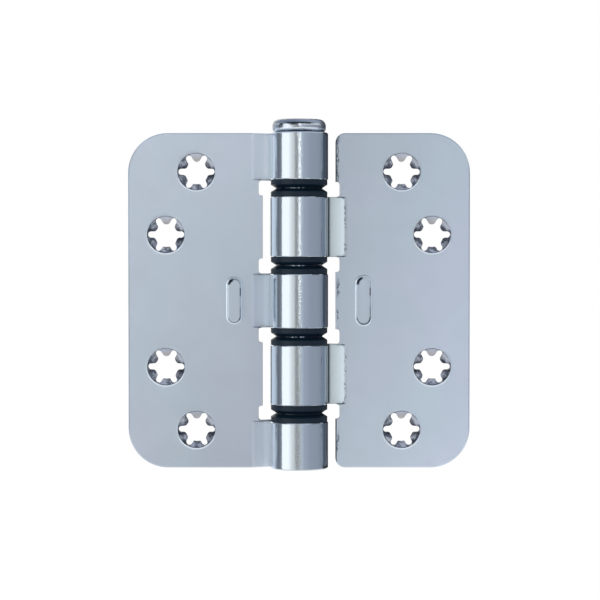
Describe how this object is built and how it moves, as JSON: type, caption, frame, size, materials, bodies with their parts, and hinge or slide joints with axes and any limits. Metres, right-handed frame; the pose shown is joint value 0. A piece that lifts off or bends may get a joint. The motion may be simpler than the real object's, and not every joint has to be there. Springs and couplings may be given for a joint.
{
  "type": "round-corner butt hinge",
  "caption": "Flat open butt hinge with rounded leaf corners, rolled interleaved knuckles on a headed pin, black flanged bearing bushes and star-shaped countersunk screw holes.",
  "frame": {"origin": "on the hinge pin's axis, at half the leaves' height", "axes": "+Z along the pin towards its head; the three-knuckle frame leaf spreads to -X and the two-knuckle door leaf to +X, open flat; -Y is the side whose faces meet when the hinge shuts, +Y the screwed-down backs"},
  "size_m": [0.0908, 0.0154, 0.0927],
  "materials": {
    "plated_sheet": "bright zinc plating on rolled sheet steel, satin, cool blue-grey",
    "plated_pin": "bright zinc plating on a turned and headed steel pin",
    "bearing_polymer": "black moulded bearing polymer, satin",
    "washer_steel": "thin bright steel, plain"
  },
  "bodies": {
    "frame_leaf": {"leaf_three_knuckle": "plated_sheet", "hinge_pin": "plated_pin", "bush_k1_lower": "bearing_polymer", "bush_k3_upper": "bearing_polymer", "bush_k3_lower": "bearing_polymer", "bush_k5_upper": "bearing_polymer", "thrust_washer_1": "washer_steel", "thrust_washer_2": "washer_steel", "thrust_washer_3": "washer_steel", "thrust_washer_4": "washer_steel"},
    "door_leaf": {"leaf_two_knuckle": "plated_sheet", "bush_k2_upper": "bearing_polymer", "bush_k2_lower": "bearing_polymer", "bush_k4_upper": "bearing_polymer", "bush_k4_lower": "bearing_polymer"}
  },
  "joints": [
    {"name": "leaf_swing", "type": "hinge", "parent": "frame_leaf", "child": "door_leaf", "pos_m": [0, 0, 0], "axis": [0, 0, 1], "range_deg": [-180, 130]}
  ]
}
